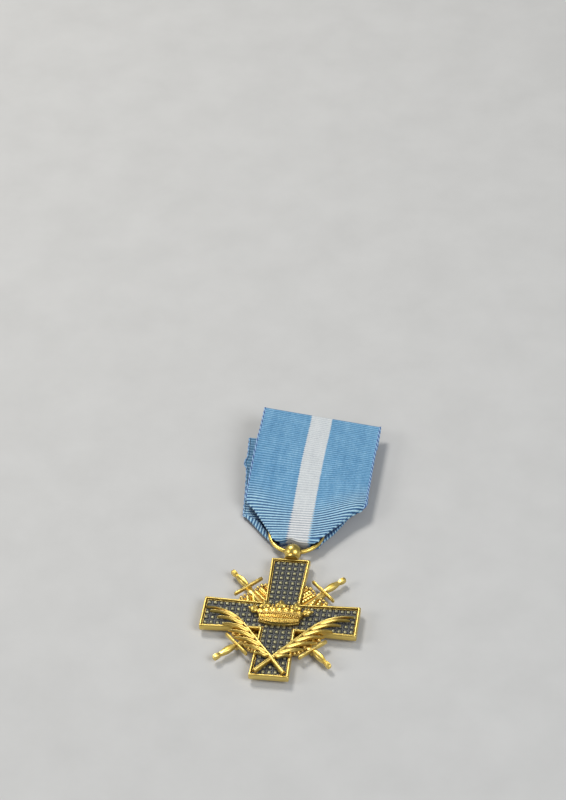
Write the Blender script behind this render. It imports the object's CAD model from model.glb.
"""Dressed model of a military service medal: a gilt cross with swords, hung on a folded ribbon."""
import math
import random
from collections import namedtuple

import bmesh
import bpy
import numpy as np
from mathutils import Matrix, Vector


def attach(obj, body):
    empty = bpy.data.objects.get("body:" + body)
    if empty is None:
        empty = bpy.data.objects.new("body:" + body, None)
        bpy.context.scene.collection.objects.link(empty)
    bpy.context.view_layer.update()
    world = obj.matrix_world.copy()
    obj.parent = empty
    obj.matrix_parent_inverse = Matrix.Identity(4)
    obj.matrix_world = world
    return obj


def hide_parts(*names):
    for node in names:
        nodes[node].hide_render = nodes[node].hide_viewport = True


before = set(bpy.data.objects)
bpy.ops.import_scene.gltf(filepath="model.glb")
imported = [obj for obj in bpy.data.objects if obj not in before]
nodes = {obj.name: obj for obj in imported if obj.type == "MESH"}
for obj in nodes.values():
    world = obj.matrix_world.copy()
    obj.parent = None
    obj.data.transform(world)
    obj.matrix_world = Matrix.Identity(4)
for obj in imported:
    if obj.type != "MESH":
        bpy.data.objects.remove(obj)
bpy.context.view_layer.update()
scene = bpy.context.scene
rng = random.Random(7)

# Lengths below are in millimetres from the cross centre; the CAD frame is in metres
MM = 0.001
CENTRE_Y = -27.0


def to_frame(p):
    """A point in millimetres from the cross centre, in the CAD frame."""
    return Vector((p[0] * MM, (p[1] + CENTRE_Y) * MM, p[2] * MM))


def smooth(t):
    """A soft step from 0 to 1 while t runs from 0 to 1."""
    t = np.clip(t, 0.0, 1.0)
    return t * t * (3 - 2 * t)


def cosd(a):
    return math.cos(math.radians(a))


def sind(a):
    return math.sin(math.radians(a))


def turned(x, y, angle):
    """A point turned about the centre, by degrees."""
    return x * cosd(angle) - y * sind(angle), x * sind(angle) + y * cosd(angle)


def unit(vectors):
    """Vectors of length one, along the last axis."""
    return vectors / np.maximum(np.linalg.norm(vectors, axis=-1), 1e-9)[..., None]


# Materials


class Nodes:
    """A material's node tree with a Principled shader on its output."""

    def __init__(self, name, **sockets):
        self.mat = bpy.data.materials.new(name)
        self.mat.use_nodes = True
        self.tree = self.mat.node_tree
        self.shader = self.tree.nodes["Principled BSDF"]
        self.put(self.shader, **sockets)

    def put(self, node, **sockets):
        """Sets or links input sockets by name, or by place where the key is _ and a number."""
        for key, value in sockets.items():
            key = int(key[1:]) if key[0] == "_" else key.replace("_", " ")
            if isinstance(value, bpy.types.NodeSocket):
                self.tree.links.new(value, node.inputs[key])
            else:
                node.inputs[key].default_value = value

    def add(self, kind, props=None, out=0, **sockets):
        node = self.tree.nodes.new("ShaderNode" + kind)
        for key, value in (props or {}).items():
            setattr(node, key, value)
        self.put(node, **sockets)
        return node.outputs[out]

    def math(self, op, a, b=0.0, c=0.0, clamp=False):
        return self.add("Math", {"operation": op, "use_clamp": clamp}, _0=a, _1=b, _2=c)

    def swing(self, value, size):
        """A value from 0 to 1, made to span this size about zero."""
        return self.math("MULTIPLY", self.math("SUBTRACT", value, 0.5), size)

    def noise(self, vector, scale, detail=4.0):
        return self.add("TexNoise", Vector=vector, Scale=scale, Detail=detail, Roughness=0.55)

    def ramp(self, value, *stops):
        node = self.tree.nodes.new("ShaderNodeValToRGB")
        while len(node.color_ramp.elements) < len(stops):
            node.color_ramp.elements.new(0.5)
        for element, (place, colour) in zip(node.color_ramp.elements, stops):
            element.position = place
            element.color = (*colour, 1.0)
        self.tree.links.new(value, node.inputs[0])
        return node.outputs[0]

    def mix(self, fac, a, b, blend="MIX"):
        """A Mix node takes its colours at 6 and 7, and gives the mixed one at 2."""
        a, b = (c if isinstance(c, bpy.types.NodeSocket) else (*c, 1.0) for c in (a, b))
        return self.add("Mix", {"data_type": "RGBA", "blend_type": blend}, out=2, _0=fac, _6=a, _7=b)

    def bump(self, height, distance, strength, normal=None):
        sockets = {"Height": height, "Distance": distance, "Strength": strength}
        if normal is not None:
            sockets["Normal"] = normal
        return self.add("Bump", None, **sockets)

    def place(self):
        """Position in the piece, in metres."""
        return self.add("TexCoord", out="Object")

    def tone(self):
        """The tone that is stored in the piece's mesh."""
        return self.add("Attribute", {"attribute_name": "tone"}, out="Fac")

    def openness(self, reach):
        """Low in hollows and high on open faces, looking this far in metres."""
        return self.add("AmbientOcclusion", {"samples": 8}, out="AO", Distance=reach)


def grey(v):
    return (v, v, v)


def scaled(colour, share):
    return tuple(c * share for c in colour)


def gilt_material(name, bright, deep, roughness):
    """Cast gold: blotched and pitted, browner in its recesses and paler on its worn edges."""
    m = Nodes(name, Metallic=1.0, Coat_Weight=0.35, Coat_Roughness=0.2)
    place = m.place()
    blotch = m.noise(place, scale=420.0, detail=5.0)
    grain = m.noise(place, scale=2600.0, detail=3.0)
    pits = m.add("TexVoronoi", {"feature": "F1"}, Vector=place, Scale=1900.0)
    openness = m.openness(reach=0.0013)
    pointed = m.add("NewGeometry", out="Pointiness")
    worn = m.ramp(pointed, (0.47, grey(0.0)), (0.56, grey(1.0)))
    tint = m.mix(m.math("MULTIPLY", blotch, 0.5), bright, scaled(bright, 0.8))
    recess = m.ramp(openness, (0.36, grey(1.0)), (0.84, grey(0.0)))
    dark = m.ramp(openness, (0.12, scaled(deep, 0.35)), (0.45, deep))
    colour = m.mix(recess, tint, dark)
    pale = m.mix(m.math("MULTIPLY", worn, 0.4), colour, (0.92, 0.77, 0.33))
    rough_face = m.bump(grain, distance=0.00004, strength=0.6)
    m.put(
        m.shader,
        Base_Color=pale,
        Roughness=m.math("MULTIPLY_ADD", blotch, 0.22, roughness),
        Normal=m.bump(pits, distance=0.00003, strength=0.35, normal=rough_face),
    )
    return m.mat


GILT = gilt_material("gilt", (0.83, 0.580, 0.095), (0.50, 0.20, 0.014), 0.25)
GILT_SOFT = gilt_material("gilt_soft", (0.79, 0.555, 0.100), (0.42, 0.17, 0.016), 0.29)


def field_material():
    """Dark ground whose studs, by their tone, are worn to a dull yellow."""
    m = Nodes("field_enamel")
    place = m.place()
    blotch = m.noise(place, scale=900.0)
    fine = m.noise(place, scale=5200.0, detail=3.0)
    level = m.math("ADD", m.tone(), m.swing(blotch, 0.5))
    colour = m.ramp(
        level,
        (0.0, (0.032, 0.035, 0.044)),
        (0.28, (0.085, 0.090, 0.096)),
        (0.45, (0.155, 0.160, 0.155)),
        (0.70, (0.230, 0.218, 0.125)),
        (1.0, (0.390, 0.370, 0.210)),
    )
    m.put(
        m.shader,
        Base_Color=colour,
        Metallic=m.ramp(level, (0.3, grey(0.10)), (0.9, grey(0.55))),
        Roughness=m.ramp(fine, (0.2, grey(0.30)), (0.8, grey(0.5))),
        Normal=m.bump(fine, distance=0.00006, strength=0.6),
    )
    return m.mat


FIELD = field_material()

# The ribbon's UV map holds the flat cloth, across in U and along in V, in units of 100 mm
CLOTH_UNIT = 100.0
STRIPE_HALF = 3.15
WARP_PITCH = 0.21


def ribbon_material():
    """Ribbed weave: a white stripe on blue, mottled, flecked and streaked, darker in its hollows."""
    m = Nodes("ribbon_weave", Roughness=0.62, Sheen_Weight=0.2, Sheen_Roughness=0.4)
    uv = m.add("UVMap", {"uv_map": "cloth"})
    across = m.swing(m.add("SeparateXYZ", out="X", Vector=uv), CLOTH_UNIT)
    rib = m.tone()
    place = m.place()
    wander = m.noise(place, scale=900.0, detail=3.0)
    mottle = m.noise(place, scale=260.0)
    lint = m.noise(place, scale=3800.0)
    fleck = m.noise(place, scale=1700.0, detail=2.0)
    streak = m.noise(m.add("Mapping", Vector=uv, Scale=(55.0, 5.0, 1.0)), scale=1.0, detail=2.0)

    # The stripe's edge steps in and out with the ribs
    jagged = m.math("ADD", m.swing(wander, 0.3), m.swing(rib, 0.7))
    edge = m.math("SUBTRACT", m.math("ABSOLUTE", m.math("ADD", across, jagged)), STRIPE_HALF)
    inside = m.math("SUBTRACT", 0.5, m.math("MULTIPLY", edge, 4.0), clamp=True)

    level = rib
    for speckle, size in ((mottle, 0.25), (fleck, 0.35), (streak, 0.25)):
        level = m.math("ADD", level, m.swing(speckle, size))
    blue = m.ramp(
        level,
        (0.0, (0.010, 0.056, 0.185)),
        (0.5, (0.116, 0.362, 0.630)),
        (1.0, (0.570, 0.850, 0.970)),
    )
    white = m.ramp(level, (0.0, (0.40, 0.43, 0.49)), (0.5, (0.72, 0.765, 0.78)), (1.0, (0.93, 0.94, 0.94)))
    recess = m.ramp(m.openness(reach=0.007), (0.30, grey(0.92)), (0.68, grey(0.0)))
    hollow = m.mix(inside, (0.012, 0.05, 0.18), (0.20, 0.22, 0.26))
    cloth = m.mix(recess, m.mix(inside, blue, white), hollow)

    warp = m.math("SINE", m.math("MULTIPLY", across, 2 * math.pi / WARP_PITCH))
    threads = m.math("MULTIPLY_ADD", warp, 0.05, 0.95)
    fibre = m.math("ADD", threads, m.swing(lint, 0.55))
    shade = m.add("CombineColor", Red=fibre, Green=fibre, Blue=fibre)
    woven = m.bump(warp, distance=0.00003, strength=0.5)
    m.put(
        m.shader,
        Base_Color=m.mix(1.0, cloth, shade, "MULTIPLY"),
        Normal=m.bump(lint, distance=0.00006, strength=0.5, normal=woven),
    )
    return m.mat


RIBBON = ribbon_material()


def cord_material(name, dark, light):
    """Twisted thread, dark between its strands."""
    m = Nodes(name, Roughness=0.7, Sheen_Weight=0.3)
    lint = m.noise(m.place(), scale=4200.0)
    level = m.math("ADD", m.tone(), m.swing(lint, 0.7))
    m.put(
        m.shader,
        Base_Color=m.ramp(level, (0.15, dark), (0.95, light)),
        Normal=m.bump(lint, distance=0.00006, strength=0.6),
    )
    return m.mat


SELVAGE = cord_material("selvage_cord", (0.022, 0.085, 0.30), (0.36, 0.60, 0.86))
THREAD = cord_material("sewing_thread", (0.02, 0.06, 0.19), (0.10, 0.24, 0.48))


def steel_material():
    """Brushed and slightly stained steel."""
    m = Nodes("brooch_steel", Metallic=1.0)
    place = m.place()
    stretched = m.add("Mapping", Vector=place, Scale=(600.0, 9000.0, 9000.0))
    brushed = m.noise(stretched, scale=1.0, detail=5.0)
    stain = m.noise(place, scale=500.0)
    m.put(
        m.shader,
        Base_Color=m.ramp(stain, (0.3, (0.46, 0.44, 0.40)), (0.7, (0.62, 0.60, 0.56))),
        Roughness=m.ramp(brushed, (0.3, grey(0.24)), (0.7, grey(0.42))),
        Normal=m.bump(brushed, distance=0.00002, strength=0.5),
    )
    return m.mat


STEEL = steel_material()

# Mesh building


class Shape:
    """Collects the vertices, faces and tones of one piece."""

    def __init__(self):
        self.points = []
        self.faces = []
        self.tones = []

    def add(self, points, faces, tone=1.0):
        start = len(self.points)
        self.points.extend(tuple(map(float, p)) for p in points)
        self.faces.extend(tuple(start + i for i in f) for f in faces)
        tones = [float(tone)] * len(points) if np.isscalar(tone) else [float(t) for t in tone]
        self.tones.extend(tones)

    def grid(self, rows, wrap=False, caps=True, tone=1.0):
        """A sheet or tube through rows of points; a tube (wrap) gets its ends closed."""
        rows = np.asarray(rows, float)
        n, m = rows.shape[:2]
        faces = []
        for i in range(n - 1):
            for j in range(m if wrap else m - 1):
                k = (j + 1) % m
                faces.append((i * m + j, i * m + k, (i + 1) * m + k, (i + 1) * m + j))
        if wrap and caps:
            faces.append(tuple(range(m)))
            faces.append(tuple((n - 1) * m + j for j in range(m)))
        tones = tone if np.isscalar(tone) else np.asarray(tone, float).reshape(-1)
        self.add(rows.reshape(-1, 3), faces, tones)

    def turn(self, angle):
        """Turns all points about the cross centre."""
        self.points = [(*turned(x, y, angle), z) for x, y, z in self.points]

    def make(self, name, material, body, replaces=(), slot="gilt", sharp=40, uv=None):
        """Makes the object; edges sharper than this angle stay crisp."""
        mesh = bpy.data.meshes.new(name)
        mesh.from_pydata([to_frame(p) for p in self.points], [], self.faces)
        tone = mesh.attributes.new("tone", "FLOAT", "POINT")
        tone.data.foreach_set("value", self.tones)
        work = bmesh.new()
        work.from_mesh(mesh)
        bmesh.ops.recalc_face_normals(work, faces=work.faces)
        work.to_mesh(mesh)
        work.free()
        if uv is not None:
            layer = mesh.uv_layers.new(name="cloth")
            corner = np.zeros(len(mesh.loops), np.int32)
            mesh.loops.foreach_get("vertex_index", corner)
            layer.data.foreach_set("uv", np.asarray(uv, np.float32)[corner].reshape(-1))
        mesh.shade_smooth()
        mesh.set_sharp_from_angle(angle=math.radians(sharp))
        mesh.materials.append(material)
        obj = bpy.data.objects.new(name, mesh)
        scene.collection.objects.link(obj)
        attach(obj, body)
        if replaces:
            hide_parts(*replaces)
        return obj


BALL_RINGS = 9
BALL_SIDES = 14


def ball(shape, centre, radii, turn=0.0):
    """An ellipsoid whose first two axes are turned about Z."""
    rows = []
    for i in range(1, BALL_RINGS):
        a = math.pi * i / BALL_RINGS
        row = []
        for j in range(BALL_SIDES):
            b = 2 * math.pi * j / BALL_SIDES
            x = radii[0] * math.sin(a) * math.cos(b)
            y = radii[1] * math.sin(a) * math.sin(b)
            dx, dy = turned(x, y, turn)
            row.append((centre[0] + dx, centre[1] + dy, centre[2] + radii[2] * math.cos(a)))
        rows.append(row)
    shape.grid(rows, wrap=True)


def mirrored(half, middle=()):
    """A symmetric list: one half, the middle, and the half again with its first value turned over."""
    return [*half, *middle, *((-p[0], *p[1:]) for p in reversed(half))]


# Sections of a ridge: offset to the side and height, as shares of its half width and height
ROUND_RIDGE = mirrored([(-1, 0), (-0.98, 0.28), (-0.8, 0.62), (-0.42, 0.92)], [(0, 1)])
SHARP_RIDGE = mirrored([(-1, 0), (-1, 0.2), (-0.62, 0.5), (-0.25, 0.84)], [(0, 1)])
FLAT_RIDGE = mirrored([(-1, 0), (-1, 0.80), (-0.9, 0.90), (-0.15, 0.96)], [(0, 1)])
GUARD_RIDGE = mirrored([(-1, 0), (-1, 0.72), (-0.88, 0.90), (-0.60, 1), (-0.25, 0.92)])
LEAF_RIDGE = [
    (-1, 0), (-0.97, 0.36), (-0.82, 0.60), (-0.48, 0.76), (-0.22, 0.84), (-0.12, 0.80),
    (-0.02, 0.88), (0.25, 0.99), (0.50, 1.0), (0.78, 0.92), (0.95, 0.55), (1, 0),
]


def ridge(shape, line, z, profile):
    """A blade along [x, y, heading, half width, height], flat underneath."""
    rows = []
    for x, y, heading, half, high in line:
        nx, ny = sind(heading), -cosd(heading)
        rows.append([(x + nx * a * half, y + ny * a * half, z + up * high) for a, up in profile])
    shape.grid(rows, wrap=True)


# Cross: a rim lofted round the outline, over the dark studded field

HALF_SPAN = 21.7
HALF_ROOT = 4.9
HALF_END = 5.5
FLARE = (HALF_END - HALF_ROOT) / (HALF_SPAN - HALF_ROOT)
RIM_Z = 3.1
OUTER_ROUND = 0.42
OUTER_ROUND_LEAST = 0.12
INNER_ROUND = 0.16


def cross_outline(inset):
    """Outline of the cross with rounded corners, set in by inset."""
    slant = inset * math.hypot(1, FLARE)
    end = HALF_ROOT + (HALF_SPAN - inset - HALF_ROOT) * FLARE - slant
    root = HALF_ROOT - slant / (1 - FLARE)
    arm = [(HALF_SPAN - inset, -end), (HALF_SPAN - inset, end), (root, root)]
    corners = [np.array(turned(x, y, a)) for a in (0, 90, 180, 270) for x, y in arm]
    outer = max(OUTER_ROUND_LEAST, OUTER_ROUND - 0.35 * inset)
    inner = INNER_ROUND + 0.12 * inset
    points = []
    for i, p in enumerate(corners):
        cut = inner if i % len(arm) == 2 else outer
        before = corners[i - 1] - p
        after = corners[(i + 1) % len(corners)] - p
        a = p + before / np.linalg.norm(before) * cut
        b = p + after / np.linalg.norm(after) * cut
        for t in (0.0, 0.25, 0.5, 0.75, 1.0):
            points.append((1 - t) ** 2 * a + 2 * t * (1 - t) * p + t * t * b)
    return points


# Rim stations: inset from the outline, level
RIM_PROFILE = [
    (0.14, 1.30), (0.03, 1.33), (0.0, 1.42), (0.0, 2.78), (0.04, 2.94), (0.14, 3.06), (0.28, 3.10),
    (0.54, 3.10), (0.61, 3.05), (0.66, 2.80), (0.70, 2.52), (0.80, 2.48), (0.84, 2.66), (0.88, 2.74),
    (0.94, 2.74), (0.98, 2.66), (1.00, 2.50), (1.02, 2.30),
]

rim = Shape()
rim.grid([[(x, y, z) for x, y in cross_outline(inset)] for inset, z in RIM_PROFILE], wrap=True)
rim.make("cross_rim", GILT_SOFT, "pendant", ["cross_frame"], sharp=38)

FIELD_INSET = 0.98
STUD_PITCH_X = 1.68
STUD_PITCH_Y = 1.82
STUD_HALF_X = 0.53
STUD_HALF_Y = 0.58
STUD_BASE = 2.33
STUD_TOP = 2.86
STUD_SQUARENESS = 0.62
STUD_SHIFT = 0.05
SIZE_SPREAD = (0.94, 1.04)
HEIGHT_SPREAD = (0.985, 1.015)
TONE_SPREAD = (0.85, 1.1)

# Studs from the middle to the end of an arm, and from an arm's middle line to its side
STUDS_ALONG_X = 12
STUDS_ALONG_Y = 11
STUDS_BESIDE = 2

# Bars of the mesh between the studs; their section is offset to the side, height, tone
WEB_HALF_X = 0.74
WEB_HALF_Y = 0.80
WEB_SECTION = mirrored([(-0.22, -0.02, 0.1), (-0.15, 0.17, 0.38)], [(0.0, 0.23, 0.46)])


def squared(v):
    """Bends a sine or cosine, so that a ring of points becomes a rounded square."""
    return math.copysign(abs(v) ** STUD_SQUARENESS, v)


SQUARE = [(squared(cosd(a)), squared(sind(a))) for a in range(15, 375, 30)]


def stud(shape, x, y):
    """A low rounded stud, worn paler towards its top."""
    half_x = STUD_HALF_X * rng.uniform(*SIZE_SPREAD)
    half_y = STUD_HALF_Y * rng.uniform(*SIZE_SPREAD)
    x = x + rng.uniform(-STUD_SHIFT, STUD_SHIFT)
    y = y + rng.uniform(-STUD_SHIFT, STUD_SHIFT)
    top = STUD_TOP * rng.uniform(*HEIGHT_SPREAD)
    pale = rng.uniform(*TONE_SPREAD)
    rings = [
        (1.0, STUD_BASE - 0.02, 0.05), (0.98, STUD_BASE + 0.16, 0.22), (0.88, top - 0.17, 0.55),
        (0.70, top - 0.06, 0.85), (0.48, top - 0.01, 1.0), (0.24, top, 0.88),
    ]
    rows = [[(x + half_x * k * a, y + half_y * k * b, z) for a, b in SQUARE] for k, z, _ in rings]
    tones = [[t * pale] * len(SQUARE) for _, _, t in rings]
    shape.grid(rows, wrap=True, tone=tones)


def web(shape, x, y, heading, half_long):
    """A low grey bar of the mesh that lies between the studs."""
    c, s = cosd(heading), sind(heading)
    bar = [(x + d * c, y + d * s) for d in (-half_long, 0.0, half_long)]
    rows = [[(px - d * s, py + d * c, STUD_BASE + up) for d, up, _ in WEB_SECTION] for px, py in bar]
    tones = [[t * rng.uniform(*TONE_SPREAD) for _, _, t in WEB_SECTION] for _ in bar]
    shape.grid(rows, wrap=True, tone=tones)


field = Shape()
ground = [(x, y, STUD_BASE) for x, y in cross_outline(FIELD_INSET)]
field.add(ground, [tuple(range(len(ground)))], 0.0)
for i in range(-STUDS_ALONG_X, STUDS_ALONG_X + 1):
    for j in range(-STUDS_ALONG_Y, STUDS_ALONG_Y + 1):
        if min(abs(i), abs(j)) <= STUDS_BESIDE:
            x, y = i * STUD_PITCH_X, j * STUD_PITCH_Y
            stud(field, x, y)
            if i < STUDS_ALONG_X:
                web(field, x + STUD_PITCH_X / 2, y, 90, WEB_HALF_Y)
            if j < STUDS_ALONG_Y:
                web(field, x, y + STUD_PITCH_Y / 2, 0, WEB_HALF_X)
field.make("studded_field", FIELD, "pendant", ["field_plate"], slot="field", sharp=60)

# Coronet: a domed band with beads, cords and dentils, under leaves and pearls

CORONET_Z = 2.8
CORONET_WIDE = 11
CORONET_FLARE = 3
CORONET_TALL = 4
CORONET_FOOT_Y = -2.5
DOME_R = 41.13
DOME_RISE = 1.5
TOP_ARCH = 1.4
FOOT_SAG = 0.9

# Mouldings and top of the band, as shares of the coronet's height
FOOT_CORD = (0.13, 0.25)
FOOT_CORD_SHOULDER = 0.24
DENTILS = (0.265, 0.47)
DENTIL_SLOPE = 0.02
LOWER_CORD = (0.485, 0.55)
UPPER_CORD = (0.56, 0.63)
FRIEZE = 0.64
CORONET_TOP = 0.88


def dome_z(x):
    """Level of the domed band."""
    return CORONET_Z + DOME_RISE - DOME_R + math.sqrt(DOME_R * DOME_R - x * x)


def coronet_point(u, t):
    """A point of the band: u is the share of the height, and t runs across from -1 to 1."""
    bow = (1 - t * t) * (TOP_ARCH * u - FOOT_SAG * (1 - u))
    x = t * (CORONET_WIDE + CORONET_FLARE * u * u) / 2
    return x, CORONET_FOOT_Y + CORONET_TALL * u + bow


def cord_relief(u, t, band, high, depth, turns, lean):
    """A half-round moulding with a twist along it."""
    low, top = band
    s = (u - (low + top) / 2) / ((top - low) / 2)
    return (high + depth * math.cos(math.pi * turns * t + lean * u)) * math.sqrt(max(0.0, 1 - s * s))


def coronet_relief(u, t):
    """Height of the mouldings on the band."""
    if u < FOOT_CORD[0]:
        return 0.12
    if u < FOOT_CORD[1]:
        return cord_relief(u, t, FOOT_CORD, high=0.34, depth=0.06, turns=24, lean=40)
    if DENTILS[0] < u < DENTILS[1]:
        tooth = smooth(1.2 * math.cos(math.pi * 20 * t) + 0.5)
        edge = min(1.0, (u - DENTILS[0]) / DENTIL_SLOPE, (DENTILS[1] - u) / DENTIL_SLOPE)
        return edge * (0.10 + 0.24 * tooth)
    if LOWER_CORD[0] < u < LOWER_CORD[1]:
        return cord_relief(u, t, LOWER_CORD, high=0.26, depth=0.07, turns=30, lean=60)
    if UPPER_CORD[0] < u < UPPER_CORD[1]:
        return cord_relief(u, t, UPPER_CORD, high=0.28, depth=0.07, turns=30, lean=-60)
    if u >= FRIEZE:
        arch = math.sin(math.pi * (u - FRIEZE) / (1 - FRIEZE))
        return 0.10 + 0.08 * math.cos(math.pi * 7 * t) * arch
    return 0.0


BAND_COLS = 180
BAND_ROWS = 64
BAND_END_FALL = 0.03
BAND_SKIRT = 0.3


def coronet_band(shape):
    """The band as a sheet whose outer rows and columns drop into the field."""
    levels = {round(CORONET_TOP * i / BAND_ROWS, 4) for i in range(BAND_ROWS + 1)}
    slopes = {round(DENTILS[0] + DENTIL_SLOPE, 4), round(DENTILS[1] - DENTIL_SLOPE, 4)}
    levels |= {FOOT_CORD_SHOULDER, *DENTILS, *slopes, *LOWER_CORD, *UPPER_CORD, FRIEZE}
    heights = [0.0, *sorted(levels), CORONET_TOP]
    rows = []
    for k, u in enumerate(heights):
        row = []
        for j in range(BAND_COLS + 3):
            t = min(1.0, max(-1.0, -1 + 2 * (j - 1) / BAND_COLS))
            x, y = coronet_point(u, t)
            if k in (0, len(heights) - 1) or j in (0, BAND_COLS + 2):
                z = CORONET_Z - BAND_SKIRT
            else:
                fall = min(1.0, (1 - abs(t)) / BAND_END_FALL)
                z = dome_z(x) + coronet_relief(u, t) * (0.35 + 0.65 * fall)
            row.append((x, y, z))
        rows.append(row)
    shape.grid(rows)


LEAF_RINGS = 9
LEAF_SIDES = 24
LEAF_FOOT = 0.8
LEAF_SKIRT = 0.55


def lobe(shape, x, y, lift, lean, wide, long, high):
    """A pointed, faceted leaf that stands at (x, y), its point leaning lean from +Y."""
    x, y = x + LEAF_FOOT * long * sind(lean), y + LEAF_FOOT * long * cosd(lean)
    base = dome_z(x) + lift
    rows = []
    for ring in range(LEAF_RINGS):
        k = 1 - ring / LEAF_RINGS
        row = []
        for j in range(LEAF_SIDES):
            a = 360 * j / LEAF_SIDES
            c, s = cosd(a), sind(a)
            power = 1.6 if s > 0 else 2.2
            r = k / (abs(c) ** power + abs(s) ** power) ** (1 / power)
            px, py = wide * r * c, long * r * s
            facet = 1 - 0.34 * abs(px) / wide - 0.16 * abs(py) / long
            up = (1 - k * k) ** 0.55 * facet if ring else -LEAF_SKIRT
            dx, dy = turned(px, py, -lean)
            row.append((x + dx, y + dy, base + high * up))
        rows.append(row)
    shape.grid(rows, wrap=True)


def pearl(shape, x, y, lift, r):
    ball(shape, (x, y, dome_z(x) + lift), (r, r, 1.1 * r))


# Lobes of a leaf and of a wing: lean in degrees, half width, half length, height
LEAF_LOBES = ((0, 0.95, 1.48, 0.95), (-56, 0.74, 1.12, 0.78), (56, 0.74, 1.12, 0.78))
WING_LOBES = ((62, 0.74, 1.40, 0.78), (22, 0.66, 1.15, 0.70), (100, 0.54, 0.92, 0.60))
SMALL_LEAF = (0.48, 0.72, 0.6)
LEAN_PER_MM = 2.2
LEAF_LIFT = 0.10

coronet = Shape()
coronet_band(coronet)
for x, y in ((-4.3, 1.80), (-0.05, 2.00), (4.0, 1.80)):
    for lean, *sizes in LEAF_LOBES:
        lobe(coronet, x, y, LEAF_LIFT, LEAN_PER_MM * x + lean, *sizes)
for x in (-2.2, 2.0):
    lobe(coronet, x, 1.45, LEAF_LIFT, LEAN_PER_MM * x, *SMALL_LEAF)
    pearl(coronet, x, 2.80, 0.12, 0.27)
for side in (-1, 1):
    x, y = coronet_point(CORONET_TOP, side)
    for lean, *sizes in WING_LOBES:
        lobe(coronet, x - 0.15 * side, y - 0.10, 0.02, lean * side, *sizes)
    pearl(coronet, x + 2.05 * side, y + 1.10, -0.05, 0.36)
    pearl(coronet, x + 0.95 * side, y + 1.62, -0.05, 0.28)

# Beads along the foot, in two heights, and oblique beads along the frieze
for j in range(-10, 11):
    x, y = coronet_point(0.06, j / 10.3)
    ball(coronet, (x, y, dome_z(x) + 0.14), (0.26, 0.27, 0.28))
    ball(coronet, (x, y - 0.16, CORONET_Z + 0.50), (0.27, 0.34, 0.34))
for j in range(-8, 9):
    x, y = coronet_point(0.71, j / 9)
    ball(coronet, (x, y, dome_z(x) + 0.08), (0.24, 0.30, 0.22), 25 if j % 2 else -25)
coronet.make("coronet_dress", GILT, "pendant", ["coronet"], sharp=50)

# Palms: ridged stem with overlapping leaflets on the outer side

STEM_ANGLE = 51
CROSS_Y = -15.7
STEM_STRAIGHT = 15.0
STEM_BEND = 14.0
STEM_FOOT = 6.4
STEM_ARC = STEM_BEND * math.radians(STEM_ANGLE)
STEM_TOP = STEM_STRAIGHT + STEM_ARC
STEM_STEPS = 44
STEM_HALF = 0.66
STEM_HIGH = 1.32
STEM_LAP = 0.22


def stem_heading(s):
    return 180 - STEM_ANGLE + math.degrees(max(0.0, s - STEM_STRAIGHT) / STEM_BEND)


def stem_point(s):
    """A point of the left palm's stem, s from where the two stems cross."""
    if s <= STEM_STRAIGHT:
        return (-s * cosd(STEM_ANGLE), CROSS_Y + s * sind(STEM_ANGLE))
    h = stem_heading(s)
    bx = -STEM_STRAIGHT * cosd(STEM_ANGLE) - STEM_BEND * sind(STEM_ANGLE)
    by = CROSS_Y + STEM_STRAIGHT * sind(STEM_ANGLE) - STEM_BEND * cosd(STEM_ANGLE)
    return (bx + STEM_BEND * sind(h), by - STEM_BEND * cosd(h))


LEAFLETS = 7
LEAFLET_STEPS = 18
LEAFLET_FIRST = 0.9
LEAFLET_LAST = STEM_STRAIGHT + STEM_ARC * 0.33
LEAFLET_LONG = 7.0
LEAFLET_RUN = 1.8
LEAFLET_ASIDE = 0.45
LEAFLET_OUT = 43
LEAFLET_TURN = 50
LEAFLET_HALF = 0.58
LEAFLET_HIGH = 1.25


def leaflet(shape, s, length):
    """A leaflet that runs along the stem first and then bends out to its tip."""
    aside = stem_heading(s) + 90
    x0, y0 = stem_point(max(LEAFLET_FIRST, s - LEAFLET_RUN))
    x0, y0 = x0 + LEAFLET_ASIDE * cosd(aside), y0 + LEAFLET_ASIDE * sind(aside)
    x1, y1 = stem_point(s)
    out = stem_heading(min(s, STEM_STRAIGHT)) + LEAFLET_OUT
    dx, dy = x1 + length * cosd(out) - x0, y1 + length * sind(out) - y0
    first = math.degrees(math.atan2(dy, dx)) - LEAFLET_TURN / 2
    bend = math.hypot(dx, dy) / (2 * sind(LEAFLET_TURN / 2))
    line = []
    for i in range(LEAFLET_STEPS + 1):
        t = i / LEAFLET_STEPS
        a = first + LEAFLET_TURN * t
        x, y = x0 + bend * (sind(a) - sind(first)), y0 - bend * (cosd(a) - cosd(first))
        swell = smooth((t + 0.08) / 0.22)
        slim = 1 - 0.54 * smooth((t - 0.20) / 0.55)
        tip = 1 - 0.85 * smooth((t - 0.9) / 0.1)
        line.append((x, y, a, LEAFLET_HALF * swell * slim * tip, LEAFLET_HIGH * (1 - 0.42 * t)))
    ridge(shape, line, RIM_Z, LEAF_RIDGE)


def palm(mirror):
    """The left palm, or with mirror -1 the right one, whose stem passes under the left one."""
    shape = Shape()
    line = []
    for i in range(STEM_STEPS + 1):
        t = i / STEM_STEPS
        s = -STEM_FOOT + (STEM_TOP + STEM_FOOT) * t
        lap = STEM_LAP * math.exp(-(s / 1.6) ** 2) * mirror
        half = STEM_HALF - 0.16 * smooth((s - 0.5) / 3.0) - 0.32 * t ** 4
        line.append((*stem_point(s), stem_heading(s), half, STEM_HIGH * (1 - 0.4 * t ** 4) + lap))
    ridge(shape, line, RIM_Z, ROUND_RIDGE)
    for i in range(LEAFLETS):
        s = LEAFLET_FIRST + (LEAFLET_LAST - LEAFLET_FIRST) * i / (LEAFLETS - 1)
        leaflet(shape, s, LEAFLET_LONG * min(1.0, 0.64 + 0.18 * i))
    shape.points = [(mirror * x, y, z) for x, y, z in shape.points]
    return shape


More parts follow.
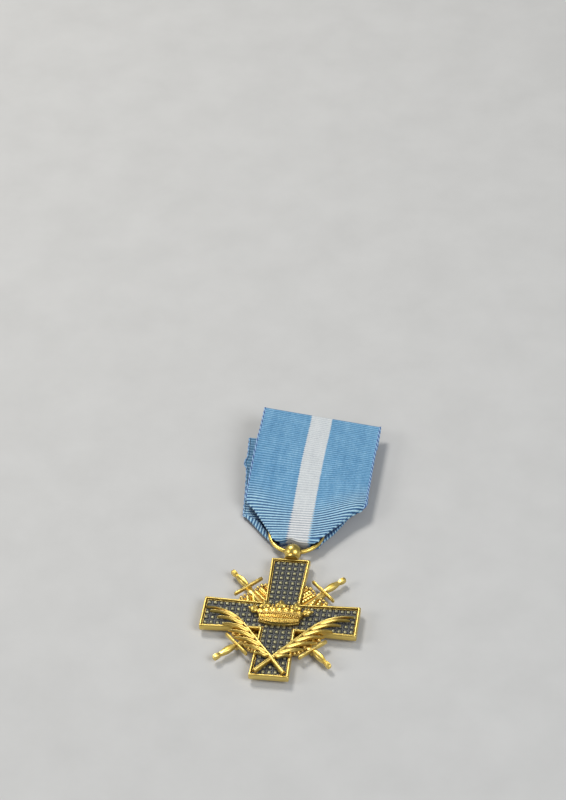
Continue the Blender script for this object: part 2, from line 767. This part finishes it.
palm(1).make("left_palm_dress", GILT, "pendant", ["left_palm"], sharp=55)
palm(-1).make("right_palm_dress", GILT, "pendant", ["right_palm"], sharp=55)

# Swords: ridged blade, slim guard and panelled grip with a knob, one in each corner

BLADE_Z = 0.45
COLLAR_Z = 0.5
GUARD_Z = 1.80
GUARD_REACH = 14.8
HILT_RISE = 0.5
HILT_FROM = 11.5
HILT_BLEND = 2.5

# Stations along a sword: distance from the centre, half width, height
BLADE = [(0.6, 0.2, 0.4), (2.0, 0.9, 0.85), (8.1, 0.95, 0.85)]
BLADE_ROOT = [(8.1, 0.66, 1.10), (8.4, 0.72, 1.30), (14.7, 0.76, 1.30)]
COLLAR = [(14.2, 0.80, 1.45), (14.5, 0.86, 1.55), (15.2, 0.70, 1.45), (15.4, 0.40, 1.30)]

# Stations along the guard: distance from the blade, half width, height
GUARD = mirrored(
    [(-4.8, 0.20, 0.70), (-4.72, 0.30, 0.90), (-4.5, 0.37, 1.05), (-3.0, 0.36, 1.05)], [(0, 0.38, 1.05)],
)

# Grip stations: distance from the centre, half width, lowest and highest level
GRIP = [
    (15.0, 0.46, 1.40, 2.40), (15.3, 0.52, 1.32, 2.48), (15.9, 0.72, 1.20, 2.58),
    (16.7, 0.90, 1.12, 2.70), (17.6, 0.98, 1.08, 2.78), (18.5, 0.92, 1.10, 2.72),
    (19.3, 0.76, 1.18, 2.61), (20.0, 0.57, 1.30, 2.50), (20.35, 0.51, 1.35, 2.45),
    (20.5, 0.58, 1.28, 2.52), (20.75, 0.68, 1.18, 2.62), (21.2, 0.73, 1.12, 2.68),
    (21.9, 0.73, 1.12, 2.68), (22.3, 0.63, 1.20, 2.60), (22.52, 0.38, 1.42, 2.38),
]
GRIP_FACE = [(-1, -0.5), (-1, 0), (-1, 0.5), (-0.86, 0.82), (-0.68, 1), (-0.58, 0.93)]
GRIP_RING = mirrored(GRIP_FACE, [(0, 0.93)]) + [(0.7, -1), (0, -1), (-0.7, -1)]


def along_axis(stations):
    return [(s, 0, 0, half, high) for s, half, high in stations]


def sword(angle, rise):
    """One sword; rise sets its guard and grip higher up."""
    shape = Shape()
    ridge(shape, along_axis(BLADE), BLADE_Z, SHARP_RIDGE)
    ridge(shape, along_axis(BLADE_ROOT), BLADE_Z, FLAT_RIDGE)
    ridge(shape, [(GUARD_REACH, s, 90, half, high) for s, half, high in GUARD], GUARD_Z, GUARD_RIDGE)
    ridge(shape, along_axis(COLLAR), COLLAR_Z, FLAT_RIDGE)
    rows = []
    for s, wide, low, high in GRIP:
        mid, tall = (low + high) / 2, (high - low) / 2
        rows.append([(s, wide * a, mid + tall * b) for a, b in GRIP_RING])
    shape.grid(rows, wrap=True)
    shape.turn(angle)
    lift = [rise * smooth((math.hypot(x, y) - HILT_FROM) / HILT_BLEND) for x, y, _ in shape.points]
    shape.points = [(x, y + up, z) for (x, y, z), up in zip(shape.points, lift)]
    return shape


for angle, corner, rise in (
    (45, "upper_right", HILT_RISE), (135, "upper_left", HILT_RISE),
    (225, "lower_left", 0.0), (315, "lower_right", 0.0),
):
    sword(angle, rise).make("sword_dress_" + corner, GILT_SOFT, "pendant", ["sword_" + corner], sharp=35)

# Laurel: a hoop behind the cross with leaves and berries in the corners

FAN_IN = 7.5
FAN_LONG = 5.5
FAN_OUT = FAN_IN + FAN_LONG
FAN_ROWS = 60
FAN_COLS = 36
FAN_LOW = 0.62
FAN_LEAST = 0.70
FAN_WIDE = 4.9
FAN_TAPER_FROM = 12.0
FAN_FOOT_Z = 0.9
FAN_Z = 1.25
LAUREL_PITCH = 1.85
LAUREL_SLANT = 0.55
BERRY_Z = 1.95

# Berries: distance from the centre, offset from the blade, radius
BERRIES = ((12.5, 4.5, 0.62), (13.2, 3.5, 0.58), (11.7, 4.3, 0.42), (13.3, 2.3, 0.44), (13.1, 1.35, 0.36))

# Section of the hoop: radius, level
HOOP = [
    (7.75, 0.0), (7.6, 0.15), (7.6, 1.05), (7.75, 1.2), (12.4, 1.2), (12.6, 1.05), (12.6, 0.15), (12.45, 0.0),
]
HOOP_STEPS = 96


def laurel_fan(shape, side, slant):
    """Leaves between the blade and one arm: a ridged wedge that tapers into the corner."""
    rows = []
    for i in range(FAN_ROWS + 1):
        r = FAN_IN + FAN_LONG * i / FAN_ROWS
        low, high = FAN_LOW, min(r - 7.02, FAN_WIDE - 0.9 * max(0.0, r - FAN_TAPER_FROM))
        high = max(FAN_LEAST, high)
        row = []
        for j in range(FAN_COLS + 1):
            off = low + (high - low) * (j / FAN_COLS)
            fall = min(1.0, (high - off) / 0.35, (FAN_OUT - r) / 0.4, (r - FAN_IN) / 0.8)
            wave = abs(math.sin(math.pi * (off + slant * (r - FAN_IN)) / LAUREL_PITCH))
            vein = 0.03 * math.cos(2 * math.pi * (r - 1.6 * abs(wave - 0.5)) / 0.9)
            z = FAN_Z + max(0.0, fall) ** 0.5 * (0.30 + 0.72 * wave ** 0.55 + vein)
            row.append((r, side * off, z))
        rows.append([(r, side * low, FAN_FOOT_Z), *row, (*row[-1][:2], FAN_FOOT_Z)])
    shape.grid(rows, wrap=True)


laurel = Shape()
hoop = []
for i in range(HOOP_STEPS):
    a = 360 * i / HOOP_STEPS
    hoop.append([(r * cosd(a), r * sind(a), z) for r, z in HOOP])
hoop.append(hoop[0])
laurel.grid(hoop, wrap=True, caps=False)
for angle, upright in ((45, 1), (135, -1), (225, 1), (315, -1)):
    spray = Shape()
    for side in (-1, 1):
        laurel_fan(spray, side, 0.0 if side == upright else LAUREL_SLANT)
        for r, off, size in BERRIES:
            ball(spray, (r, side * off, BERRY_Z), (size, size, size))
    spray.turn(angle)
    laurel.add(spray.points, spray.faces)
laurel.make("laurel_dress", GILT, "pendant", ["laurel_wreath"], sharp=36)

# Ribbon: one strip of ribbed cloth, from a hem over the top, down the front, round the ring and up the back

RIBBON_T = 0.45
HALF_W = 17.5
HALF_RIGHT = 17.1
AXIS_Z = 2.45
FOLD_Y = 29.15
FOLD_R = 1.425
FOLD_SQUARENESS = 0.55
HEM_Z = 6.114
HEM_END_Y = 66.7
TOP_FOLD_Y = 75.15
TOP_FOLD_R = 0.55
TOP_MID_R = TOP_FOLD_R - RIBBON_T / 2
TOP_X = 1.65
FRONT_LOW_Z = 4.1
FRONT_RISE = 3.114
FRONT_ROLL = 8.5
BACK_END_Y = 66.0
BACK_LOW_Z = 0.8
BACK_RISE = 3.9
BACK_ROLL = 3.0
LOOP_Y = 57.0
LOOP_OUT = 0.8
POINT_X = 0.9
POINT_HALF = 6.8
EDGE_PASSES = 14
FREE_EDGE_Y = 36.0

# Steps of the mesh across and along the cloth
SHEET_COLS = 44
ARC_STEPS = 7
FLAP_STEPS = 5
HEM_STEP = 0.2
TOP_STEP = 18
FOLD_STEPS = 32
FRONT_START = 0.1
FRONT_ROWS_PER_RIB = 9
BACK_START = 0.12
BACK_ROWS_PER_RIB = 8
BACK_PITCH = 0.95

# The cloth's half thickness, how deep the ribs cut into it, and how much of that shows on each part
CLOTH_HALF = 0.22
RIB_DEPTH = 0.15
HEM_RIBS = 0.36
FRONT_RIBS = 0.30
FOLD_RIBS = 0.9


def half_left(y):
    """Width of the cloth on the left of its middle, a little less towards the top."""
    return 17.2 - 0.4 * smooth((y - 44.0) / 24.0)


def raised(y):
    """Rise of both layers from the point, 0, to the brooch, 1."""
    return smooth((y - 41.4) / 23.3)


def front_x(y):
    """Middle of the front layer."""
    return 1.1 + 0.55 * smooth((y - 43.4) / 32.3)


def back_x(y):
    """Middle of the back layer, which leans to the left."""
    return 2.0 - 2.9 * (y - FOLD_Y) / 36.85


def stripe_x(y):
    """Middle of the stripe on the front layer."""
    return POINT_X + 0.75 * smooth((y - 45.0) / 30.0)


# Edges of the pleated point, from the ring to the shoulder, as (y, x)
FRONT_LEFT = [
    (29.15, -6.4), (34.0, -9.6), (37.0, -11.6), (40.0, -13.8), (41.5, -15.4), (42.6, -15.95), (44.0, -16.1),
]
FRONT_RIGHT = [
    (29.15, 6.8), (33.4, 9.9), (37.0, 12.8), (39.6, 15.0), (40.6, 16.2), (41.4, 17.2), (42.6, 17.95),
    (44.0, 18.2),
]
BACK_LEFT = [(29.15, -6.9), (32.5, -10.2), (36.5, -13.7), (39.1, -16.3), (40.5, -16.4)]
BACK_RIGHT = [
    (29.15, 6.8), (34.2, 10.4), (37.2, 12.0), (40.3, 13.5), (42.0, 14.6), (46.0, 17.9), (47.5, 18.0),
]
SHOULDER = 1.5


def edge_x(y, line, own):
    """The pleated edge up to its shoulder, softened at the bends, then the cloth's own edge."""
    ys, xs = zip(*line)
    bent = sum(np.interp(y + d, ys, xs) for d in (-0.6, -0.3, 0.0, 0.3, 0.6)) / 5
    t = smooth((y - ys[-1] + SHOULDER) / SHOULDER)
    return bent + (own - bent) * t


def rib_rise(x, y):
    """How far a rib that crosses the stripe at y has risen by x: steep on the right of the point."""
    left = stripe_x(y) - 2.5 - x
    right = x - stripe_x(y) - 2.5
    tilt_left = np.interp(y, (30.0, 37.0, 43.0, 56.0), (-0.12, -0.02, 0.10, 0.0))
    tilt_right = np.interp(y, (27.0, 30.0, 40.0, 58.0), (0.0, 0.34, 0.34, 0.0))
    sides = ((tilt_left, left), (tilt_right, right))
    return sum(tilt * np.where(d > 0, np.sqrt(d * d + 4.0) - 2.0, 0.0) for tilt, d in sides)


def rib_pitch(y):
    """Pitch of the ribs on the front layer, wider towards the point."""
    return 0.76 + 0.18 * smooth((56.0 - y) / 18.0)


def strip_rows():
    """Rows of the cloth from the hem to the back end: (part, place on it, distance along the cloth)."""
    out = []
    along = 0.0
    y = HEM_END_Y
    while y < TOP_FOLD_Y:
        out.append(("hem", y, along))
        y += HEM_STEP
        along += HEM_STEP
    for a in range(-90, 91, TOP_STEP):
        out.append(("top", a, along))
        along += TOP_MID_R * math.radians(TOP_STEP)
    y = TOP_FOLD_Y - FRONT_START
    while y > FOLD_Y:
        step = rib_pitch(y) / FRONT_ROWS_PER_RIB
        out.append(("front", y, along))
        y -= step
        along += step
    for i in range(FOLD_STEPS + 1):
        out.append(("fold", 90 - 180 * i / FOLD_STEPS, along))
        along += FOLD_R * math.pi / FOLD_STEPS
    y = FOLD_Y + BACK_START
    while y < BACK_END_Y:
        step = BACK_PITCH / BACK_ROWS_PER_RIB
        out.append(("back", y, along))
        y += step
        along += step
    return out


# One row of cloth; share, radius and limit say how its spare cloth is turned under
Row = namedtuple("Row", "points inward flat share radius limit", defaults=(0.0, 0.25, 6.0))

# Shares of the width, closer together at the edges
SPREAD = np.linspace(0.0, 1.0, SHEET_COLS + 1)
SPREAD = SPREAD - 0.06 * np.sin(2 * math.pi * SPREAD)


def hem_row(y):
    """A row of the hem behind the top."""
    return top_layer(y, HEM_Z + RIBBON_T / 2, (0, 0, 1))


def top_row(angle):
    """The fold over the top."""
    y = TOP_FOLD_Y + TOP_MID_R * cosd(angle)
    return top_layer(y, HEM_Z + TOP_FOLD_R + TOP_MID_R * sind(angle), (0, -cosd(angle), -sind(angle)))


def top_layer(y, z, inward):
    """A straight row of the hem or of the fold over the top."""
    roll = math.radians(FRONT_ROLL)
    left = half_left(TOP_FOLD_Y)
    x = -left + (left + HALF_RIGHT) * SPREAD
    points = np.stack([TOP_X + math.cos(roll) * x, y + 0 * x, z - math.sin(roll) * x], -1)
    return Row(points, inward, x * HALF_W / np.where(x < 0, left, HALF_RIGHT))


def front_row(place):
    """A rib of the front layer, which rises and rolls towards the brooch and swells at the shoulders."""
    left, right = -POINT_HALF, POINT_HALF
    for _ in range(EDGE_PASSES):
        yl = place + float(rib_rise(left, place))
        yr = place + float(rib_rise(right, place))
        left = float(edge_x(yl, FRONT_LEFT, front_x(yl) - half_left(yl)))
        right = float(edge_x(yr, FRONT_RIGHT, front_x(yr) + HALF_RIGHT))
    x = left + (right - left) * SPREAD
    y = np.minimum(place + rib_rise(x, place), TOP_FOLD_Y)
    mid = front_x(y)
    roll = np.radians(FRONT_ROLL * raised(y))
    near = np.minimum(x - left, right - x)
    swell = np.exp(-((y - 41.5) / 5.5) ** 2) * np.abs((x - mid) / HALF_W) ** 2 * np.where(x < mid, 0.7, 2.0)
    z = FRONT_LOW_Z + FRONT_RISE * raised(y) - RIBBON_T / 2
    z = z - np.sin(roll) * (x - mid) + swell * (1 - np.exp(-near / 2.2))
    points = np.stack([mid + np.cos(roll) * (x - mid), y, z], -1)
    d = x - stripe_x(place)
    flat = d * HALF_W / np.where(d < 0, half_left(place), HALF_RIGHT)
    share = smooth((place - FOLD_Y) / 3.0)
    radius = 0.20 + 0.05 * smooth((place - 34.0) / 5.0)
    return Row(points, (0, 0, -1), flat, share, radius, 3.5)


def fold_row(angle):
    """A row round the ring: narrowest at the bottom of the fold, and drawn in near its middle."""
    half = (8.2 + 5.2 * abs(sind(angle)) ** 1.5) / 2
    x = -half + 2 * half * SPREAD + 0.2
    depth = FOLD_R - 1.15 * np.exp(-((x + 1.4) / 1.8) ** 2)
    y = FOLD_Y - depth * cosd(angle) ** FOLD_SQUARENESS
    z = AXIS_Z + math.copysign(FOLD_R * abs(sind(angle)) ** FOLD_SQUARENESS, angle) + 0 * x
    return Row(np.stack([x, y, z], -1), (0, cosd(angle), -sind(angle)), x - POINT_X)


def back_row(y):
    """A row of the back layer, with a small loop standing out of its left edge."""
    up = raised(y)
    roll = math.radians(BACK_ROLL * up)
    mid = back_x(y)
    loop = LOOP_OUT * math.exp(-((y - LOOP_Y) / 1.4) ** 2)
    left = float(edge_x(y, BACK_LEFT, mid - HALF_W)) - loop
    right = float(edge_x(y, BACK_RIGHT, mid + HALF_W))
    x = left + (right - left) * SPREAD
    z = BACK_LOW_Z + BACK_RISE * up + RIBBON_T / 2
    points = np.stack([mid + math.cos(roll) * (x - mid), y + 0 * x, z - math.sin(roll) * (x - mid)], -1)
    stripe = POINT_X + (mid - POINT_X) * smooth((y - FOLD_Y) / 6.0)
    flat = x - stripe + loop * (1 - SPREAD)
    return Row(points, (0, 0, 1), flat, smooth((y - FOLD_Y) / 2.0))


ROW_MAKERS = {"hem": hem_row, "top": top_row, "front": front_row, "fold": fold_row, "back": back_row}

# One side of the cloth turned under: its columns, their flat offsets, its spare width, and the way out
Turn = namedtuple("Turn", "columns flats spare outward")
LEAST_BEND = 0.06
LEAST_FLAP = 0.05
MOST_SLANT = 0.7
LEAST_STRAIGHT = 0.55


def turn_under(sheet, row, rim):
    """Turns one side's spare cloth in over a small radius, to lie on its own layer."""
    side, near = (-1, 1) if rim == 0 else (1, -2)
    edge = sheet[:, rim].copy()
    out = unit(edge - sheet[:, near])
    line = unit(np.gradient(edge, axis=0))
    normal = out - np.sum(out * line, 1)[:, None] * line
    normal = unit(normal - np.sum(normal * row.inward, 1)[:, None] * row.inward)
    slant = np.clip(np.sum(out * line, 1), -MOST_SLANT, MOST_SLANT)
    straight = np.clip(np.sum(out * normal, 1), LEAST_STRAIGHT, 1.0)
    offset = row.flat[:, rim]
    spare = np.maximum(HALF_W - np.abs(offset), 0.0) * row.share
    width = np.clip(spare, LEAST_FLAP, row.limit) * (1 - 0.7 * smooth((np.abs(slant) - 0.55) / 0.15))
    bend = LEAST_BEND + (row.radius - LEAST_BEND) * smooth(spare / 1.2)
    columns, flats = [], []

    def column(outwards, inwards, along, flat):
        parts = ((normal, outwards), (row.inward, inwards), (line, along))
        columns.append(edge + sum(way * length[:, None] for way, length in parts))
        flats.append(offset + side * flat)

    for i in range(1, ARC_STEPS + 1):
        a = math.pi * i / ARC_STEPS
        column(bend * (math.sin(a) - 1), bend * (1 - math.cos(a)), bend * a * slant / straight, bend * a)
    for i in range(1, FLAP_STEPS + 1):
        w = width * i / FLAP_STEPS
        run = bend * math.pi * slant / straight + w * slant
        column(-(bend + w * straight), 2 * bend, run, bend * math.pi + w)
    sheet[:, rim] = edge - normal * bend[:, None]
    return Turn(columns, flats, spare, normal)


def rib_waves(rows, along, across):
    """Where each row lies on its rib, counted in ribs, and how strongly the ribs show at each point."""
    phase = np.zeros(len(rows))
    strength = np.ones(across.shape)
    for i, (part, place, _) in enumerate(rows):
        pitch = rib_pitch(place) if part == "front" else BACK_PITCH
        if i:
            phase[i] = phase[i - 1] + (along[i] - along[i - 1]) / pitch
        if part == "front":
            near_point = smooth((45.0 + 0.40 * np.abs(across[i]) - place) / 12.0)
            strength[i] = FRONT_RIBS + (1 - FRONT_RIBS) * near_point
        elif part == "fold":
            strength[i] = FOLD_RIBS
        elif part == "back":
            strength[i] = FOLD_RIBS - 0.5 * smooth((place - 44.0) / 6.0)
        else:
            strength[i] = HEM_RIBS
    return phase, strength


CORD_R = 0.16
CORD_R_MORE = 0.19
CORD_ASIDE = 0.22
CORD_UP = 0.10
CORD_MOST_SPARE = 0.9


def build_ribbon():
    """The ribbon's shape, its UV map, its selvage cords, and each row's distance along the cloth."""
    rows = strip_rows()
    along = np.array([r[2] for r in rows])
    laid = [ROW_MAKERS[part](place) for part, place, _ in rows]
    row = Row(*(np.array([getattr(r, name) for r in laid], float) for name in Row._fields))
    sheet = row.points
    left, right = (turn_under(sheet, row, rim) for rim in (0, -1))
    points = np.concatenate([np.stack(left.columns[::-1], 1), sheet, np.stack(right.columns, 1)], 1)
    across = np.concatenate([np.stack(left.flats[::-1], 1), row.flat, np.stack(right.flats, 1)], 1)

    # The ribs thin the cloth on both faces and set its tone
    phase, strength = rib_waves(rows, along, across)
    rib = (np.abs(np.sin(math.pi * phase)) ** 0.75)[:, None]
    normal = unit(np.cross(np.gradient(points, axis=1), np.gradient(points, axis=0)))
    middle = points.shape[1] // 2
    normal *= np.sign(np.sum(normal[:, middle] * -row.inward, 1))[:, None, None]
    thick = normal * (CLOTH_HALF - RIB_DEPTH * strength * (1 - rib))[:, :, None]
    tone = 0.5 - 0.55 * strength * np.cos(2 * math.pi * phase)[:, None]

    def both_faces(outer, inner):
        return np.concatenate([outer, inner[:, ::-1]], 1)

    shape = Shape()
    shape.grid(both_faces(points + thick, points - thick), wrap=True, tone=both_faces(tone, tone))
    uv_u = both_faces(across, across) / CLOTH_UNIT + 0.5
    uv_v = np.repeat(along[:, None] / CLOTH_UNIT, uv_u.shape[1], 1)
    uv = np.stack([uv_u, uv_v], -1).reshape(-1, 2)

    # A cord runs along each selvage, fuller where the selvage isn't turned under
    clear = {"hem": True, "top": True, "fold": False}
    above_point = np.array([clear.get(part, place > FREE_EDGE_Y) for part, place, _ in rows])
    cords = []
    for rim, turn in ((0, left), (-1, right)):
        free = 1 - smooth((turn.spare - 0.15) / 0.7)
        beside = sheet[:, rim] + turn.outward * CORD_ASIDE - row.inward * CORD_UP
        path = points[:, rim] * (1 - free)[:, None] + beside * free[:, None]
        keep = (turn.spare < CORD_MOST_SPARE) & above_point
        cords.append((path, keep, CORD_R + CORD_R_MORE * free))
    return shape, uv, cords, along


ribbon_shape, ribbon_uv, ribbon_cords, ribbon_along = build_ribbon()
ribbon = ribbon_shape.make(
    "ribbon_cloth", RIBBON, "ribbon_and_brooch", ["ribbon"], slot="ribbon", sharp=180, uv=ribbon_uv,
)

ROPE_PITCH = 1.9
ROPE_SIDES = 12
ROPE_LEAST_ROWS = 8


def rope(shape, path, along, radius):
    """A two-strand twisted cord along a path."""
    tangent = unit(np.gradient(path, axis=0))
    side = np.cross(tangent, np.array([0.0, 0.0, 1.0]))
    side[np.linalg.norm(side, axis=1) < 0.2] = np.array([1.0, 0.0, 0.0])
    side = unit(side)
    up = np.cross(side, tangent)
    rows, tones = [], []
    for i in range(len(path)):
        turn = 2 * math.pi * along[i] / ROPE_PITCH
        row, tone = [], []
        for j in range(ROPE_SIDES):
            a = 2 * math.pi * j / ROPE_SIDES
            swell = 0.5 + 0.5 * math.cos(2 * a - turn)
            r = radius[i] * (0.62 + 0.38 * swell)
            row.append(path[i] + side[i] * r * math.cos(a) + up[i] * r * math.sin(a))
            tone.append(swell)
        rows.append(row)
        tones.append(tone)
    shape.grid(rows, wrap=True, tone=tones)


def runs(keep):
    """Start and end of each unbroken run of kept rows."""
    ends = np.flatnonzero(np.diff(np.concatenate([[0], keep, [0]])))
    return zip(ends[::2], ends[1::2])


selvage = Shape()
for path, keep, radius in ribbon_cords:
    for start, end in runs(keep):
        if end - start > ROPE_LEAST_ROWS:
            rope(selvage, path[start:end], ribbon_along[start:end], radius[start:end])
selvage_obj = selvage.make("ribbon_selvage", SELVAGE, "ribbon_and_brooch", slot="ribbon", sharp=180)

# CAD nodes that keep their own shape

DRESS = {
    "suspension_ball": GILT, "suspension_ring": GILT, "sword_rivets": GILT_SOFT, "brooch_bar": STEEL,
    "catch_housing": STEEL, "hinge_rivet": STEEL, "brooch_needle": STEEL, "catch_sleeve": STEEL,
    "ribbon_stitches": THREAD,
}
for name, material in DRESS.items():
    nodes[name].data.materials.clear()
    nodes[name].data.materials.append(material)

# Floor, lights and camera

FLOOR_HALF = 3.0
floor_mesh = bpy.data.meshes.new("floor")
floor_corners = [(x * FLOOR_HALF, y * FLOOR_HALF, 0.0) for x, y in ((-1, -1), (1, -1), (1, 1), (-1, 1))]
floor_mesh.from_pydata(floor_corners, [], [(0, 1, 2, 3)])
floor = bpy.data.objects.new("floor", floor_mesh)
scene.collection.objects.link(floor)
paper = Nodes("floor_paper", Roughness=0.8)
cloudy = paper.noise(paper.place(), scale=60.0)
pale_grey = paper.ramp(cloudy, (0.3, (0.60, 0.60, 0.59)), (0.7, (0.64, 0.64, 0.63)))
paper.put(paper.shader, Base_Color=pale_grey)
floor.data.materials.append(paper.mat)

world = bpy.data.worlds.new("studio")
scene.world = world
world.use_nodes = True
background = world.node_tree.nodes["Background"]
background.inputs["Color"].default_value = (0.80, 0.84, 0.90, 1.0)
background.inputs["Strength"].default_value = 0.22


def lamp(name, place, size, power, colour):
    """A round soft light that points at the origin."""
    data = bpy.data.lights.new(name, "AREA")
    data.shape = "DISK"
    data.size = size
    data.energy = power
    data.color = colour
    obj = bpy.data.objects.new(name, data)
    obj.location = place
    obj.rotation_euler = Vector(place).to_track_quat("Z", "Y").to_euler()
    scene.collection.objects.link(obj)


lamp("key", (-0.35, 0.45, 0.75), size=0.30, power=4.4, colour=(1.0, 0.97, 0.92))
lamp("fill", (0.55, -0.35, 0.60), size=0.5, power=3.5, colour=(0.95, 0.97, 1.0))
lamp("side", (-0.6, -0.2, 0.35), size=0.3, power=1.2, colour=(1.0, 0.98, 0.95))

AZIMUTH, ELEVATION, ROLL = 11.17, 42.82, -4.12
TARGET = Vector((-0.01107, 0.05545, 0.00646))
DISTANCE = 0.7474
FOCAL = 113.3

back = Vector((sind(AZIMUTH) * cosd(ELEVATION), -cosd(AZIMUTH) * cosd(ELEVATION), sind(ELEVATION)))
level = Vector((cosd(AZIMUTH), sind(AZIMUTH), 0))
above = back.cross(level)
right = level * cosd(ROLL) + above * sind(ROLL)
up = above * cosd(ROLL) - level * sind(ROLL)
camera_data = bpy.data.cameras.new("camera")
camera_data.sensor_fit = "VERTICAL"
camera_data.sensor_height = 36.0
camera_data.lens = FOCAL
camera_data.clip_start = 0.01
camera = bpy.data.objects.new("camera", camera_data)
spin = Matrix((right, up, back)).transposed()
camera.matrix_world = Matrix.Translation(TARGET + back * DISTANCE) @ spin.to_4x4()
scene.collection.objects.link(camera)
scene.camera = camera
scene.view_settings.view_transform = "Standard"
